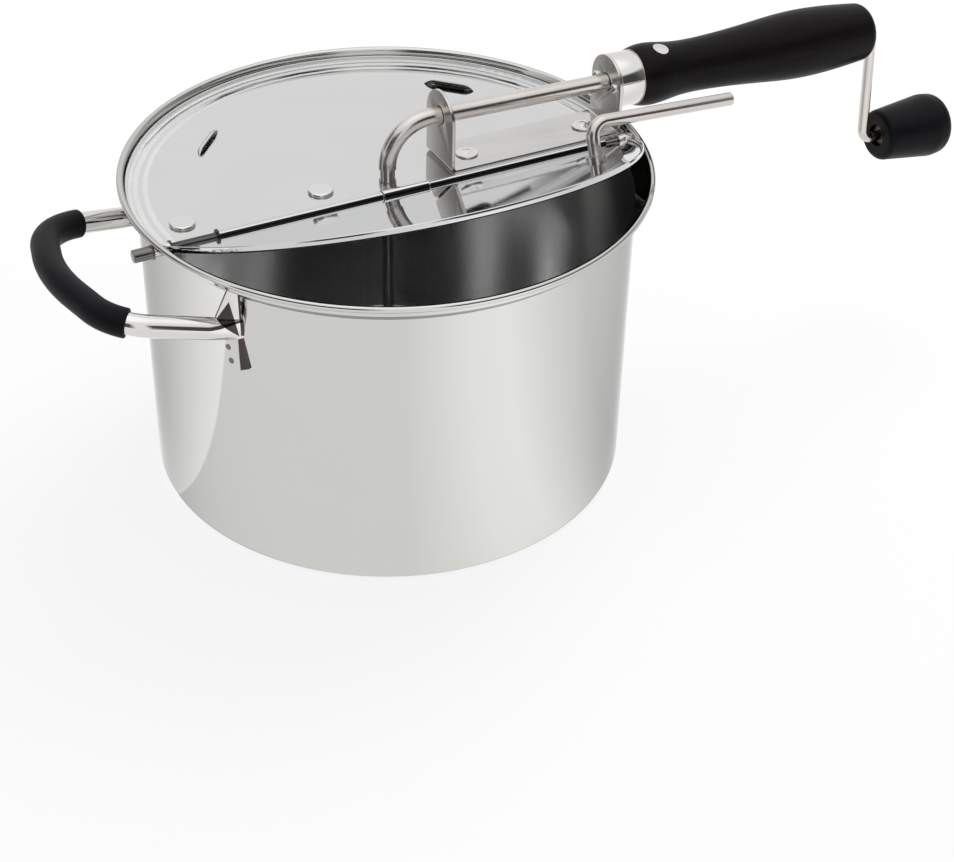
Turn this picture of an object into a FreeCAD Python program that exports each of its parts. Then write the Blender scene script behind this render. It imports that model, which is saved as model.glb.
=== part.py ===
import FreeCAD, Part
import math
import os
from FreeCAD import Placement, Rotation
from FreeCAD import Vector as V

# Stovetop popcorn popper: a stainless pot, a lid in two halves that share one hinge rod,
# and a crank in the long handle that turns a stirring wire through a bent tube.
# Millimetres. Origin at the middle of the base, +Z up, +X towards the long handle.

# --- pot ---------------------------------------------------------------------------------
BODY_R = 112.0          # outside of the straight wall
HEIGHT = 151.0          # table to the top of the rim
WALL = 0.7              # pot sheet
CORNER_R = 3.5          # outside corner between wall and bottom
RIM_OUT = 8.0           # outside of the rolled rim beyond the wall
BEAD_R = 1.5            # section of the rolled rim
FLARE_H = 5.0           # height of the sloping step under the rim
BASE_INSET = 8.0        # wall to the edge of the bonded base plate
BASE_T = 1.2

# --- lid ---------------------------------------------------------------------------------
LID_T = 0.8             # lid sheet
LID_DROP = 6.0          # rim top down to the lid's upper face
LIP_H = 2.4             # turned-up edge, above the lid's upper face
LIP_BEND = 1.5          # inside bend of the turned-up edge
LIP_BEVEL = 0.25        # bevel along both sides of its top
LID_GAP = 0.5           # edge of the fixed half to the rim
FLAP_GAP = 1.0          # edge of the flap to the rim
SEAT_GAP = 0.01         # rounded edge of the fixed half to the step it lies on
GROOVE_INSET = 10.0     # rim to the middle of the groove pressed into both halves
GROOVE_W = 6.5
GROOVE_D = 0.2

# --- hinge rod and its release -------------------------------------------------------------
HINGE_Y = -17.3         # the hinge line lies this far in front of the pot's middle
ROD_R = 1.4
RUN_GAP = 0.06          # radial clearance of every running fit
KNUCKLE_R = 2.3         # barrels curled from the flap
STRAP_R = 2.9           # barrel curled from the fixed half
KNUCKLE_INSET = 32.0    # rim to the left end of the flap's left barrel
STRAP_L = -11.0         # ends of the fixed half's barrel
STRAP_RIGHT = 11.3
KNUCKLE_END_INSET = 17.0   # rim to the right end of the flap's right barrel
END_GAP = 0.3           # axial gap between barrels, and between parts that turn
CLIP_R = 3.3            # clips and washers on the rod
CLIP_T = 0.7
BUSH_R = 2.6            # bushings in the pot wall
BUSH_IN = 1.8           # from the wall's outside to a bushing's inner end
BUSH_OUT = 5.4          # from the wall's outside to a bushing's outer end
BUTTON_R = 2.85
BUTTON_L = 8.2
BUTTON_FLANGE_R = 3.5
SPRING_WIRE = 0.5
SPRING_TURNS = 19

# --- flap and its thumb lever ----------------------------------------------------------------
FLAP_ANGLE = 22.5       # opening drawn, from shut
LEVER_INSET = 42.0      # rim to the lever's foot, along the hinge
LEVER_S = 36.0          # hinge line to the lever's foot
LEVER_H = 16.4          # lid's upper face to the arm's axis
LEVER_L = 73.6
LEVER_R = 3.0
LEVER_BEND = 7.0
LEVER_FALL = 3.0        # degrees that the arm falls towards its end
COLLAR_R = 4.6
COLLAR_T = 1.8

# --- handle bracket ----------------------------------------------------------------------
STRAP_W = 25.6          # width of the bracket and diameter of the ferrule
BRACKET_T = 1.5
BRACKET_BEND = 1.2      # inside bend
EAR_IN_X = 26.0         # left face of the left ear
EAR_IN_DROP = 1.4       # the left ear's rounding sits this far below the axis
EAR_INSET = 5.4         # rim to the right face of the right ear

# --- rivets and brace -----------------------------------------------------------------------
LID_RIVET_INSET = 21.6  # rim to the outer of the two rivets on the lid
LID_RIVET_IN_X = -33.5
LID_RIVET_Y = -1.4
BRACKET_RIVET_IN = 13.9     # left ear to the rivet beside it
BRACKET_RIVET_OUT = 13.2    # right ear to the rivet beside it
BRACKET_RIVET_Y = -0.5
LID_RIVET_R = 5.8
LID_RIVET_H = 1.6
BRACKET_RIVET_R = 5.3
BRACKET_RIVET_H = 0.8
RIVET_DOME_R = 2.9      # raised middle of a rivet in the bracket
RIVET_DOME_H = 0.7
RIVET_SHANK_R = 2.5
RIVET_TAIL_R = 3.8
RIVET_TAIL_H = 1.0
BRACE_W = 18.0
BRACE_T = 1.5
BRACE_END = 4.5         # bar beyond the outer rivets

# --- drive: axis of tube, handle and crank -----------------------------------------------------
AXIS_H = 24.5           # lid's upper face to the axis, over the pot's middle
DROOP = 1.47            # degrees that the axis falls towards the crank
TUBE_R = 4.0
TUBE_BORE = 3.0
TUBE_BEND = 20.0
TUBE_FOOT = 3.0         # lid to the tube's lower end
TUBE_IN_GRIP = 73.0     # tube's end beyond the ferrule
NECK_R = 3.4            # lid bushing
BUSH_FLANGE_R = 7.0
BUSH_FLANGE_T = 1.6

# --- grip ---------------------------------------------------------------------------------
FERRULE_L = 12.4        # bracket's right ear to the ferrule's end
FERRULE_WALL = 1.1
FERRULE_FLOOR = 1.6
GRIP_START_R = 13.4
GRIP_COLLAR = (5.0, 14.4)   # lengths beyond the ferrule, and the grip's radius there
GRIP_NECK = (21.0, 13.05)
GRIP_WAIST = (39.0, 12.6)
GRIP_RISE = (65.0, 14.3)
GRIP_SWELL = (90.0, 16.3)
GRIP_TAIL = (119.0, 15.3)
GRIP_END = (135.0, 13.6)
GRIP_EDGE = 5.0
SCREW_Y = 8.0           # ferrule screws, each side of the tube
SCREW_HEAD_R = 2.3
SCREW_HEAD_H = 1.6
SCREW_R = 1.4
SCREW_SLOT = 0.63       # width of the cross in its head
SCREW_L = 14.0
PIN_INSET = 12.5        # ferrule to the flush pin in the grip
PIN_R = 3.8
PIN_TURN = 14.0         # degrees that the pin leans to the front
CRANK_BUSH_R = 5.0
CRANK_BUSH_L = 10.0

# --- crank and knob ---------------------------------------------------------------------------
CRANK_R = 2.6
CRANK_START = 37.0      # crank rod's inner end, just past the tube's bend
CRANK_ARM_GAP = 5.8     # grip's end to the middle of the crank arm
CRANK_ARM = 58.0
CRANK_BEND = 5.2
CRANK_TURN = 7.1        # degrees that the arm stands forward of straight down
KNOB_NEAR = 9.0         # arm's axis to the knob's small end
KNOB_L = 39.5
KNOB_SMALL_R = 12.7
KNOB_LARGE_R = 16.2
KNOB_END_R = 15.0       # before the large end's edge is rounded
KNOB_TAPER_L = 30.0
KNOB_SMALL_EDGE = 3.0
KNOB_BELLY = 12.0       # rounding where the knob is thickest
KNOB_LARGE_EDGE = 6.0
KNOB_RECESS_R = 5.6
KNOB_RECESS_D = 3.0
KNOB_POCKET_R = 6.4
KNOB_POCKET_D = 7.5
KNOB_CAP_T = 2.5
RETAINER_R = 4.6
RETAINER_T = 1.5

# --- stirrer ---------------------------------------------------------------------------------
STIR_R = 2.5
STIR_INTO_TUBE = 0.5    # shaft's top above the tube's lower end
FLOOR_GAP = 0.6         # pot's inner floor to the low wire; the shaft's foot is half as far
WIRE_R = 1.5
LOW_INSET = 16.0        # pot's wall to the ends of the low wire
LOW_SWEEP = 24.0
HIGH_Z = 38.0
HIGH_INSET = 50.0       # pot's wall to the ends of the high wire
HIGH_RISE = 15.0
STIR_STRAIGHT = 0.6     # share of a wire's reach before its end is bent
STIR_BEND = 15.0
COLLAR_H = 6.0
STIR_COLLAR_R = 5.0

# --- side handle --------------------------------------------------------------------------------
LOOP_TUBE_R = 4.9
LOOP_GRIP_R = 6.4
LOOP_WALL_Y = 58.4      # where each leg meets the wall
LOOP_DROP = 30.1        # rim's top down to where the legs meet the wall
LOOP_OUT = 45.4         # wall to the middle of the loop's front
LOOP_RISE = 0.22        # height gained per length, away from the pot
LOOP_TILT = 0.054       # height lost per length, towards the rear
LEG_ANGLE = 12.0        # degrees that the legs close in, away from the pot
FRONT_ANGLE = 12.5      # degrees that each half of the front leans back
FRONT_BEND = 88.0
LOOP_BENDS = 24.0, 33.0     # front and rear bend
TAIL_L = 15.0           # length over which each leg is pressed flat
TAIL_SHARES = (         # along the flattened length: share of it, half height and half thickness
    (-0.3, 5.0, 0.7), (0.0, 4.9, 1.1), (0.4, 4.9, 3.0), (0.75, 4.9, 4.5))
WEB_T = 1.7             # sheet that stands on the flattened end, above and below it
TAIL_UP = 20.0          # leg's axis up to the top of its web, and down to its foot
TAIL_DOWN = 18.6
TAIL_TOP_OUT = 5.0      # wall to the web's free edge, at its top and on the tube
TAIL_TUBE_OUT = 10.7
TAIL_STRIP_OUT = 2.0    # wall to the free edge of the narrow strip below the tube
STRIP_TURN = 8.8        # degrees that the strip turns outwards
GRIP_BARE = 0.35, 0.06      # shares of the front and rear bend that the soft grip leaves bare

# --- louvres in the fixed half ---------------------------------------------------------------------
LOUVRE_INSETS = 33.1, 28.9      # rim to the middle of the left and of the right louvre
LOUVRE_AT = 45.1        # degrees from the side to each louvre
LOUVRE_TURNS = 41.4, 45.0       # degrees from the side to the way that each hood faces
LOUVRE_L = 25.5
LOUVRE_H = 2.6
LOUVRE_END = 6.0        # length over which a hood rises to its height
LOUVRE_T = 0.7

# --- places that follow from the sizes above ------------------------------------------------------
X, Y, Z = V(1, 0, 0), V(0, 1, 0), V(0, 0, 1)
RIM_R = BODY_R + RIM_OUT
BASE_R = BODY_R - BASE_INSET
RIM_IN_R = RIM_R - 2 * BEAD_R
GROOVE_R = RIM_R - GROOVE_INSET
LID_Z = HEIGHT - LID_DROP
LID_R = RIM_IN_R - LID_GAP
FLAP_R = RIM_IN_R - FLAP_GAP
STEP_W = RIM_IN_R + WALL - BODY_R
STEP_LEAN = math.atan2(STEP_W, FLARE_H)
STEP_RISE = WALL * math.tan(STEP_LEAN / 2)
EDGE_BEND = LIP_BEND + LID_T
SEAT_DROP = ((EDGE_BEND + SEAT_GAP) / math.sin(STEP_LEAN)
             - (LID_GAP + EDGE_BEND) / math.tan(STEP_LEAN))
FLARE_TOP = LID_Z + LIP_BEND - SEAT_DROP - STEP_RISE
FLARE_FOOT = FLARE_TOP - FLARE_H
FLOOR_Z = BASE_T + WALL
HINGE = V(0, HINGE_Y, LID_Z)
KNUCKLE_L = KNUCKLE_INSET - RIM_R
KNUCKLE_END = RIM_R - KNUCKLE_END_INSET
BUSH_IN_X = BODY_R - BUSH_IN
BUSH_OUT_X = BODY_R + BUSH_OUT
LEVER_X = RIM_R - LEVER_INSET
EAR_OUT_X = RIM_R - EAR_INSET
LID_RIVETS = V(LID_RIVET_INSET - RIM_R, LID_RIVET_Y, 0), V(LID_RIVET_IN_X, LID_RIVET_Y, 0)
BRACKET_RIVETS = (V(EAR_IN_X + BRACKET_RIVET_IN, BRACKET_RIVET_Y, 0),
                  V(EAR_OUT_X - BRACKET_RIVET_OUT, BRACKET_RIVET_Y, 0))
AXIS_Z = LID_Z + AXIS_H
FERRULE_END = EAR_OUT_X + FERRULE_L
TUBE_END = FERRULE_END + TUBE_IN_GRIP
GRIP_END_U = FERRULE_END + GRIP_END[0]
CRANK_ARM_U = GRIP_END_U + CRANK_ARM_GAP
LOOP_WALL_X = math.sqrt(BODY_R ** 2 - LOOP_WALL_Y ** 2)
LOOP_WALL_Z = HEIGHT - LOOP_DROP
LOOP_FRONT_X = BODY_R + LOOP_OUT
HINGE_CLEAR = CLIP_R + END_GAP
EDGE_Y = HINGE_Y + HINGE_CLEAR
TUBE_FOOT_Z = LID_Z + TUBE_FOOT
BRACE_Z = LID_Z - LID_T - BRACE_T
STIR_TOP = TUBE_FOOT_Z + STIR_INTO_TUBE
FERRULE_R = STRAP_W / 2
BIG = 4 * RIM_R         # larger than anything, for cutting in halves

os.makedirs("parts", exist_ok=True)


def save(name, shape):
    """Write one piece as parts/NAME.step and print what it holds."""
    shape.exportStep(f"parts/{name}.step")
    box = shape.BoundBox
    print(f"{name:18s} solids {len(shape.Solids)} valid {shape.isValid()} volume {shape.Volume:9.1f}"
          f"  x {box.XMin:6.1f} {box.XMax:6.1f}  y {box.YMin:6.1f} {box.YMax:6.1f}"
          f"  z {box.ZMin:6.1f} {box.ZMax:6.1f}")


def run(start, *steps):
    """Edges from start: a point is a straight run, a pair is an arc (point on it, end)."""
    edges, here = [], start
    for step in steps:
        if isinstance(step, tuple):
            edges.append(Part.Arc(here, step[0], step[1]).toShape())
            here = step[1]
        else:
            edges.append(Part.LineSegment(here, step).toShape())
            here = step
    return edges


def bend(before, corner, after, radius):
    """Start, middle and end of the arc that rounds a corner."""
    a = (before - corner).normalize()
    b = (after - corner).normalize()
    half = a.getAngle(b) / 2
    middle = (a + b).normalize()
    centre = corner + middle * (radius / math.sin(half))
    reach = radius / math.tan(half)
    return corner + a * reach, centre - middle * radius, corner + b * reach


def rounded(points, radii):
    """Closed wire through points, each corner rounded by its radius (0 is sharp)."""
    count = len(points)
    corners = []
    for i, (point, radius) in enumerate(zip(points, radii)):
        if radius:
            corners.append(bend(points[i - 1], point, points[(i + 1) % count], radius))
        else:
            corners.append((point, None, point))
    steps = []
    for start, middle, end in corners[1:] + corners[:1]:
        steps.append(start)
        if middle:
            steps.append((middle, end))
    edges = run(corners[0][2], *steps)
    return Part.Wire([edge for edge in edges if edge.Length > 1e-6])


def bent(points, radii):
    """Open wire through points, straight runs joined by tangent arcs."""
    steps = []
    for i, radius in enumerate(radii, start=1):
        start, middle, end = bend(points[i - 1], points[i], points[i + 1], radius)
        steps += [start, (middle, end)]
    return Part.Wire(run(points[0], *steps, points[-1]))


def turned(wire, axis=Z):
    """Solid of revolution of an outline drawn in the XZ plane."""
    return Part.Face(wire).revolve(V(0, 0, 0), axis, 360)


def swept(path, radius):
    """Round bar along a wire."""
    first = path.Edges[0]
    start = first.valueAt(first.FirstParameter)
    ring = Part.Wire(Part.Circle(start, first.tangentAt(first.FirstParameter), radius).toShape())
    return path.makePipeShell([ring], True, True)


def bar(radius, start, end):
    """Round bar between two points."""
    return Part.makeCylinder(radius, (end - start).Length, start, end - start)


def ring(outer, inner, start, end):
    """Round tube between two points."""
    return bar(outer, start, end).cut(bar(inner, start, end))


def block(low, high):
    """Box between two corners."""
    return Part.makeBox(high.x - low.x, high.y - low.y, high.z - low.z, low)


def on_axis(shape):
    """Bring a piece drawn along +X from the origin onto the drooping drive axis."""
    placed = shape.copy()
    placed.Placement = Placement(V(0, 0, AXIS_Z), Rotation(Y, DROOP)).multiply(placed.Placement)
    return placed


def axis_point(u):
    """Point at the length u along the drive axis."""
    slope = math.radians(DROOP)
    return V(u * math.cos(slope), 0, AXIS_Z - u * math.sin(slope))


def axis_height(x):
    """Height of the drive axis over the place x."""
    return AXIS_Z - x * math.tan(math.radians(DROOP))


def opened(shape):
    """Turn a piece of the shut flap about the hinge line to the drawn opening."""
    copy = shape.copy()
    copy.rotate(HINGE, -X, FLAP_ANGLE)
    return copy


# --- pot -------------------------------------------------------------------------------------

def pot_shell():
    lip_r, inner_r = RIM_IN_R + WALL, BODY_R - WALL
    bead_z = HEIGHT - BEAD_R
    under = bead_z - math.sqrt(BEAD_R ** 2 - (BEAD_R - WALL) ** 2)
    slant = math.sqrt(0.5)
    outer_bend = V(BODY_R - CORNER_R * (1 - slant), 0, BASE_T + CORNER_R * (1 - slant))
    inner_corner = CORNER_R - WALL
    inner_bend = V(inner_r - inner_corner * (1 - slant), 0, FLOOR_Z + inner_corner * (1 - slant))
    edges = run(
        V(0, 0, BASE_T),
        V(BODY_R - CORNER_R, 0, BASE_T),
        (outer_bend, V(BODY_R, 0, BASE_T + CORNER_R)),
        V(BODY_R, 0, FLARE_FOOT),
        V(lip_r, 0, FLARE_TOP),
        V(lip_r, 0, under),
        (V(RIM_IN_R + BEAD_R * (1 + slant), 0, bead_z + BEAD_R * slant), V(RIM_IN_R, 0, bead_z)),
        V(RIM_IN_R, 0, FLARE_TOP + STEP_RISE),
        V(inner_r, 0, FLARE_FOOT + STEP_RISE),
        V(inner_r, 0, FLOOR_Z + inner_corner),
        (inner_bend, V(inner_r - inner_corner, 0, FLOOR_Z)),
        V(0, 0, FLOOR_Z),
        V(0, 0, BASE_T),
    )
    shell = turned(Part.Wire(edges))
    for side in (-1, 1):
        shell = shell.cut(bar(BUSH_R, HINGE + X * side * BUSH_IN_X, HINGE + X * side * RIM_R))
    return shell


def base_plate():
    return Part.makeCylinder(BASE_R, BASE_T)


def rod_bushings():
    """Collar in each side of the pot wall, in which the hinge rod runs."""
    return Part.makeCompound([
        ring(BUSH_R, ROD_R + RUN_GAP, HINGE + X * side * BUSH_IN_X, HINGE + X * side * BUSH_OUT_X)
        for side in (-1, 1)
    ])


def spring_seat():
    start = HINGE - X * BUSH_IN_X
    return ring(CLIP_R, ROD_R + RUN_GAP, start, start + X * CLIP_T)


# --- side handle ---------------------------------------------------------------------------

def loop_point(x, y):
    """Point of the side handle's plane, which rises away from the pot."""
    return V(-x, y, LOOP_WALL_Z + LOOP_RISE * (x - LOOP_WALL_X) - LOOP_TILT * y)


def leg_y(x):
    """Half the spread of the side handle's legs at the distance x."""
    return LOOP_WALL_Y - (x - LOOP_WALL_X) * math.tan(math.radians(LEG_ANGLE))


def loop_corner():
    """Distance and half spread where a leg's line meets the front's line."""
    lean = math.tan(math.radians(FRONT_ANGLE))
    close = math.tan(math.radians(LEG_ANGLE))
    y = leg_y(LOOP_FRONT_X) / (1 - close * lean)
    return LOOP_FRONT_X - y * lean, y


def loop_path(leg_x):
    """Middle line of the side handle, from the front leg at leg_x to the rear leg at leg_x."""
    corner_x, corner_y = loop_corner()
    points = [
        loop_point(leg_x, -leg_y(leg_x)),
        loop_point(corner_x, -corner_y),
        loop_point(LOOP_FRONT_X, 0),
        loop_point(corner_x, corner_y),
        loop_point(leg_x, leg_y(leg_x)),
    ]
    return bent(points, (LOOP_BENDS[0], FRONT_BEND, LOOP_BENDS[1]))


def section(centre, along, tall, thick):
    """Upright oval across the direction along."""
    across = Z.cross(along).normalize()
    upright = along.cross(across).normalize()
    if tall - thick < 1e-6:
        curve = Part.Circle(centre, along, tall)
        curve.XAxis = upright
        return Part.Wire(curve.toShape())
    oval = Part.Ellipse(centre + upright * tall, centre + across * thick, centre)
    return Part.Wire(oval.toShape())


def web(wall, out, points, inward, turn):
    """Upright plate beside a leg's plane, from points (length out from the wall, height), turned."""
    corners = [wall + out * length + Z * height for length, height in points]
    plate = Part.Face(Part.makePolygon(corners + corners[:1])).extrude(inward)
    plate.rotate(wall, out, turn)
    return plate


def fishtail(side, tail_x):
    """End of a leg, pressed flat where it is welded to the wall, with the web that grows from it."""
    wall = loop_point(LOOP_WALL_X, side * LOOP_WALL_Y)
    foot = loop_point(tail_x, side * leg_y(tail_x))
    out = (foot - wall).normalize()
    length = (foot - wall).Length
    sections = [section(wall + out * length * at, out, tall, thick) for at, tall, thick in TAIL_SHARES]
    sections.append(section(foot, out, LOOP_TUBE_R, LOOP_TUBE_R))
    tail = Part.makeLoft(sections, True, False)
    level = V(out.x, out.y, 0).normalize()
    inward = Z.cross(level) * side * WEB_T
    rise = out.z / math.hypot(out.x, out.y)
    inside = -TAIL_STRIP_OUT
    upper = [(inside, 0), (TAIL_TUBE_OUT / 2, 0), (TAIL_TUBE_OUT, TAIL_TUBE_OUT * rise + LOOP_TUBE_R),
             (TAIL_TOP_OUT, TAIL_UP), (inside, TAIL_UP)]
    lower = [(inside, 0), (inside, -TAIL_DOWN), (TAIL_STRIP_OUT, -TAIL_DOWN), (TAIL_STRIP_OUT, 0)]
    webs = [web(wall, level, upper, inward, 0), web(wall, level, lower, inward, -side * STRIP_TURN)]
    tail = tail.fuse(webs)
    wall_side = Part.makeCylinder(BODY_R, BIG, V(0, 0, -BIG / 2))
    step_side = Part.makeCone(BODY_R, BODY_R + STEP_W, FLARE_H, V(0, 0, FLARE_FOOT))
    rim_side = Part.makeCylinder(BODY_R + STEP_W, BIG, V(0, 0, FLARE_TOP))
    return tail.cut(wall_side.fuse([step_side, rim_side]))


def side_handle_tube():
    tail_x = LOOP_WALL_X + TAIL_L
    loop = swept(loop_path(tail_x), LOOP_TUBE_R)
    return loop.fuse([fishtail(-1, tail_x), fishtail(1, tail_x)])


def side_handle_grip():
    """Soft sleeve round the loop, from within the front bend to within the rear one."""
    front_leg, front_bend, *middle, rear_bend, rear_leg = loop_path(LOOP_WALL_X + TAIL_L).Edges
    front_start, front_end = front_bend.ParameterRange
    rear_start, rear_end = rear_bend.ParameterRange
    front_start += GRIP_BARE[0] * (front_end - front_start)
    rear_end -= GRIP_BARE[1] * (rear_end - rear_start)
    path = Part.Wire([front_bend.Curve.toShape(front_start, front_end)] + middle
                     + [rear_bend.Curve.toShape(rear_start, rear_end)])
    return swept(path, LOOP_GRIP_R).cut(swept(path, LOOP_TUBE_R))


# --- lid -------------------------------------------------------------------------------------

def lid_disc(radius):
    """Whole lid plate with its groove and turned-up edge."""
    under = LID_Z - LID_T
    lip_top = LID_Z + LIP_H
    slant = math.sqrt(0.5)
    centre = V(radius - EDGE_BEND, 0, LID_Z + LIP_BEND)
    low, high = GROOVE_R - GROOVE_W / 2, GROOVE_R + GROOVE_W / 2
    edges = run(
        V(0, 0, LID_Z),
        V(low, 0, LID_Z),
        (V(GROOVE_R, 0, LID_Z - GROOVE_D), V(high, 0, LID_Z)),
        V(radius - EDGE_BEND, 0, LID_Z),
        (centre + V(slant, 0, -slant) * LIP_BEND, V(radius - LID_T, 0, LID_Z + LIP_BEND)),
        V(radius - LID_T, 0, lip_top - LIP_BEVEL),
        V(radius - LID_T + LIP_BEVEL, 0, lip_top),
        V(radius - LIP_BEVEL, 0, lip_top),
        V(radius, 0, lip_top - LIP_BEVEL),
        V(radius, 0, LID_Z + LIP_BEND),
        (centre + V(slant, 0, -slant) * EDGE_BEND, V(radius - EDGE_BEND, 0, under)),
        V(high, 0, under),
        (V(GROOVE_R, 0, under - GROOVE_D), V(low, 0, under)),
        V(0, 0, under),
        V(0, 0, LID_Z),
    )
    return turned(Part.Wire(edges))


def slot_outline(half, height, end):
    """Half outline of a long slot: arcs up from both ends to a straight top, and the way back."""
    radius = (end ** 2 + height ** 2) / (2 * height)
    lean = math.asin(end / radius) / 2
    rise = V(0, radius * math.sin(lean), height - radius * (1 - math.cos(lean)))
    left, right = V(0, end - half, height), V(0, half - end, height)
    near = V(0, left.y - rise.y, rise.z), V(0, right.y + rise.y, rise.z)
    return run(V(0, -half, 0), (near[0], left), right, (near[1], V(0, half, 0)))


def louvre(side):
    """Raised hood of a vent, and the opening under it, at the left (-1) or right (1) of the lid."""
    half = LOUVRE_L / 2
    place = (side + 1) // 2
    reach, at = RIM_R - LOUVRE_INSETS[place], math.radians(LOUVRE_AT)
    hood_turn = LOUVRE_TURNS[place]
    outer = slot_outline(half, LOUVRE_H, LOUVRE_END)
    inner = slot_outline(half - LOUVRE_T, LOUVRE_H - LOUVRE_T, LOUVRE_END - LOUVRE_T / 2)
    ends = V(0, half, 0), V(0, half - LOUVRE_T, 0)
    hood = Part.Wire(Part.__sortEdges__(outer + inner + run(ends[0], ends[1]) + run(-ends[0], -ends[1])))
    slot = Part.Wire(Part.__sortEdges__(inner + run(ends[1], -ends[1])))
    pieces = []
    for wire, turn in ((hood, 90), (slot, 180)):
        piece = Part.Face(wire).revolve(V(0, 0, 0), Y, turn)
        piece.rotate(V(0, 0, 0), Z, hood_turn if side > 0 else 180 - hood_turn)
        piece.translate(V(side * reach * math.cos(at), reach * math.sin(at), LID_Z))
        pieces.append(piece)
    return pieces


def barrel(left, right, radius, plate_y):
    """Sheet from plate_y to the hinge line, curled round the rod between left and right."""
    sheet = block(V(left, min(plate_y, HINGE_Y), LID_Z - LID_T), V(right, max(plate_y, HINGE_Y), LID_Z))
    return sheet.fuse(bar(radius, HINGE + X * left, HINGE + X * right))


def rod_bore(left, right):
    return bar(ROD_R + RUN_GAP, HINGE + X * left, HINGE + X * right)


def lid_half():
    """Fixed rear half, with the middle barrel of the hinge."""
    plate = lid_disc(LID_R).common(block(V(-BIG, EDGE_Y, 0), V(BIG, BIG, BIG)))
    plate = plate.fuse(barrel(STRAP_L, STRAP_RIGHT, STRAP_R, EDGE_Y))
    plate = plate.cut(rod_bore(STRAP_L, STRAP_RIGHT))
    for side in (-1, 1):
        hood, slot = louvre(side)
        plate = plate.cut(slot).fuse(hood)
    return plate.cut(lid_holes(LID_Z - LID_T, LID_Z))


def lid_holes(low, high):
    """Bars for the holes of the four rivets and of the stirrer's bushing."""
    holes = [bar(RIVET_SHANK_R, place + Z * low, place + Z * high)
             for place in LID_RIVETS + BRACKET_RIVETS]
    return holes + [bar(NECK_R, V(0, 0, low), V(0, 0, high))]


def lid_brace():
    """Flat bar under the lid that the rivets clamp."""
    left, right = LID_RIVETS[0].x - BRACE_END, BRACKET_RIVETS[1].x + BRACE_END
    plate = block(V(left, -BRACE_W / 2, BRACE_Z), V(right, BRACE_W / 2, BRACE_Z + BRACE_T))
    corners = [edge for edge in plate.Edges if abs(edge.tangentAt(0).z) > 0.5]
    plate = plate.makeFillet(BRACE_END, corners)
    return plate.cut(lid_holes(BRACE_Z, BRACE_Z + BRACE_T))


def rivet(place, seat, head_r, head_h):
    """Rivet with a broad low head on the seat, set under the brace."""
    tail_z = BRACE_Z - RIVET_TAIL_H
    points = [V(0, 0, seat + head_h), V(head_r, 0, seat + head_h), V(head_r, 0, seat),
              V(RIVET_SHANK_R, 0, seat), V(RIVET_SHANK_R, 0, BRACE_Z), V(RIVET_TAIL_R, 0, BRACE_Z),
              V(RIVET_TAIL_R, 0, tail_z), V(0, 0, tail_z)]
    body = turned(rounded(points, (0, head_h * 0.6, 0, 0, 0, 0, RIVET_TAIL_H / 2, 0)))
    body.translate(place)
    return body


def bracket_rivet(place):
    """Rivet in the bracket's base: a flat head with a raised middle."""
    seat = LID_Z + BRACKET_T
    dome_r = (RIVET_DOME_R ** 2 + RIVET_DOME_H ** 2) / (2 * RIVET_DOME_H)
    head_top = seat + BRACKET_RIVET_H
    dome = Part.makeSphere(dome_r, place + Z * (head_top + RIVET_DOME_H - dome_r))
    dome = dome.common(bar(BRACKET_RIVET_R, place + Z * (head_top - RIVET_DOME_H / 2), place + Z * BIG))
    return rivet(place, seat, BRACKET_RIVET_R, BRACKET_RIVET_H).fuse(dome)


def handle_bracket():
    """Strap bent up into two ears that carry the tube."""
    top = axis_height(0) + STRAP_W
    left, right = EAR_IN_X, EAR_OUT_X
    floor = LID_Z + BRACKET_T
    points = [V(left, 0, LID_Z), V(right, 0, LID_Z), V(right, 0, top), V(right - BRACKET_T, 0, top),
              V(right - BRACKET_T, 0, floor), V(left + BRACKET_T, 0, floor), V(left + BRACKET_T, 0, top),
              V(left, 0, top)]
    outer = BRACKET_BEND + BRACKET_T
    wire = rounded(points, (outer, outer, 0, 0, BRACKET_BEND, BRACKET_BEND, 0, 0))
    strap = Part.Face(wire).extrude(Y * STRAP_W)
    strap.translate(-Y * FERRULE_R)
    middle = (left + right) / 2
    masks = []
    for low, high in ((left - 1, middle), (middle, right + 1)):
        ear_top = axis_height(left) - EAR_IN_DROP if low < left else axis_height(right)
        masks.append(block(V(low, -FERRULE_R, 0), V(high, FERRULE_R, ear_top)))
    drop = Z * EAR_IN_DROP
    masks.append(bar(FERRULE_R, axis_point(0) - drop, axis_point(middle) - drop))
    masks.append(bar(FERRULE_R, axis_point(middle), axis_point(FERRULE_END)))
    strap = strap.common(masks[0].fuse(masks[1:]))
    holes = [bar(TUBE_R, axis_point(0), axis_point(FERRULE_END))]
    holes += [bar(RIVET_SHANK_R, place + Z * LID_Z, place + Z * floor) for place in BRACKET_RIVETS]
    holes += [screw_bar(side, SCREW_R) for side in (-1, 1)]
    return strap.cut(holes)


def lid_bushing():
    """Flanged bushing through brace and lid, in which the stirrer shaft turns."""
    flange_z = BRACE_Z - BUSH_FLANGE_T
    body = bar(NECK_R, V(0, 0, flange_z), V(0, 0, TUBE_FOOT_Z))
    body = body.fuse(bar(BUSH_FLANGE_R, V(0, 0, flange_z), V(0, 0, BRACE_Z)))
    return body.cut(bar(STIR_R + RUN_GAP, V(0, 0, flange_z), V(0, 0, TUBE_FOOT_Z)))


# --- tube and grip ------------------------------------------------------------------------------

def drive_path(start_z, end_u):
    """Middle line of the drive: up from the lid, round the bend, out along the axis."""
    return bent([V(0, 0, start_z), V(0, 0, AXIS_Z), axis_point(end_u)], (TUBE_BEND,))


def drive_tube():
    path = drive_path(TUBE_FOOT_Z, TUBE_END)
    return swept(path, TUBE_R).cut(swept(path, TUBE_BORE))


def flex_shaft():
    """Flexible shaft and its liner in the tube's bend, from the crank rod to the stirrer shaft."""
    return swept(drive_path(STIR_TOP + END_GAP, CRANK_START - END_GAP), TUBE_BORE)


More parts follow.
